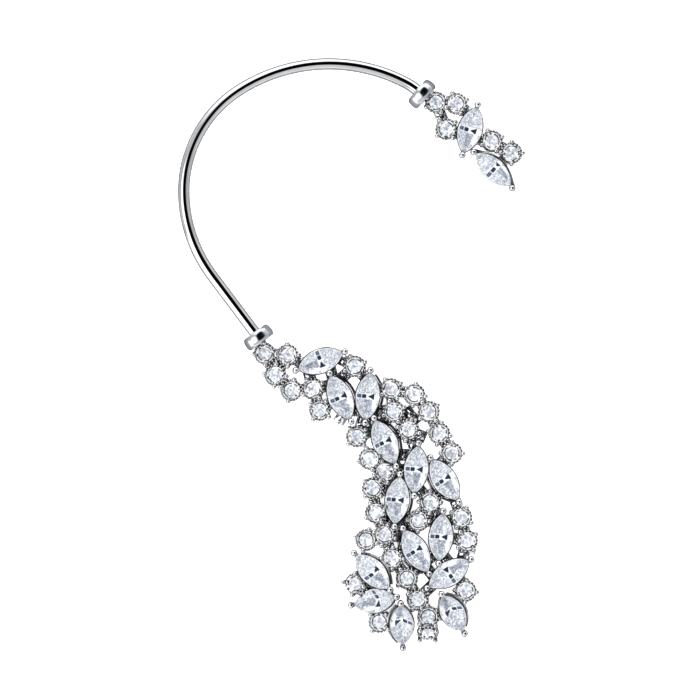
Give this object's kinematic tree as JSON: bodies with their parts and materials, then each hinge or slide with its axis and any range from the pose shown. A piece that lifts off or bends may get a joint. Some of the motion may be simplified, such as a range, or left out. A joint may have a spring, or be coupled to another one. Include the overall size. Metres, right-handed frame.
{
  "type": "ear cuff",
  "caption": "Over-ear cuff: a round wire hook between two rondelles, with a small and a large cluster of claw-set marquise and round clear stones.",
  "frame": {"origin": "under the middle of the cuff's box, on the back plane that it lies on", "axes": "+Z out of the back plane through the stones' tables, +Y towards the top of the ear, +X from the hook's bend to the clusters"},
  "size_m": [0.0432, 0.0744, 0.0045],
  "materials": {
    "polished_metal": "mirror-polished rhodium plate, near white with soft dark reflections",
    "setting_metal": "cast and rhodium-plated, bright on the claws and greyer in the gallery between the stones",
    "marquise_stone": "faceted clear cubic zirconia with a pale blue cast, polished",
    "round_stone": "round brilliant-cut clear cubic zirconia, polished"
  },
  "bodies": {
    "root": {"ear_hook": "polished_metal", "collar_lower": "polished_metal", "setting_lower": "setting_metal", "marquise_lower_01": "marquise_stone", "marquise_lower_02": "marquise_stone", "marquise_lower_03": "marquise_stone", "marquise_lower_04": "marquise_stone", "marquise_lower_05": "marquise_stone", "marquise_lower_06": "marquise_stone", "marquise_lower_07": "marquise_stone", "marquise_lower_08": "marquise_stone", "marquise_lower_09": "marquise_stone", "marquise_lower_10": "marquise_stone", "marquise_lower_11": "marquise_stone", "marquise_lower_12": "marquise_stone", "marquise_lower_13": "marquise_stone", "marquise_lower_14": "marquise_stone", "round_lower_01": "round_stone", "round_lower_02": "round_stone", "round_lower_03": "round_stone", "round_lower_04": "round_stone", "round_lower_05": "round_stone", "round_lower_06": "round_stone", "round_lower_07": "round_stone", "round_lower_08": "round_stone", "round_lower_09": "round_stone", "round_lower_10": "round_stone", "round_lower_11": "round_stone", "round_lower_12": "round_stone", "round_lower_13": "round_stone", "round_lower_14": "round_stone", "round_lower_15": "round_stone", "round_lower_16": "round_stone", "round_lower_17": "round_stone", "round_lower_18": "round_stone", "round_lower_19": "round_stone", "round_lower_20": "round_stone", "round_lower_21": "round_stone", "round_lower_22": "round_stone", "round_lower_23": "round_stone", "round_lower_24": "round_stone", "round_lower_25": "round_stone", "round_lower_26": "round_stone", "round_lower_27": "round_stone", "round_lower_28": "round_stone", "round_lower_29": "round_stone", "round_lower_30": "round_stone", "round_lower_31": "round_stone", "round_lower_32": "round_stone", "round_lower_33": "round_stone", "collar_upper": "polished_metal", "setting_upper": "setting_metal", "marquise_upper_01": "marquise_stone", "marquise_upper_02": "marquise_stone", "round_upper_01": "round_stone", "round_upper_02": "round_stone", "round_upper_03": "round_stone", "round_upper_04": "round_stone", "round_upper_05": "round_stone"}
  },
  "joints": []
}
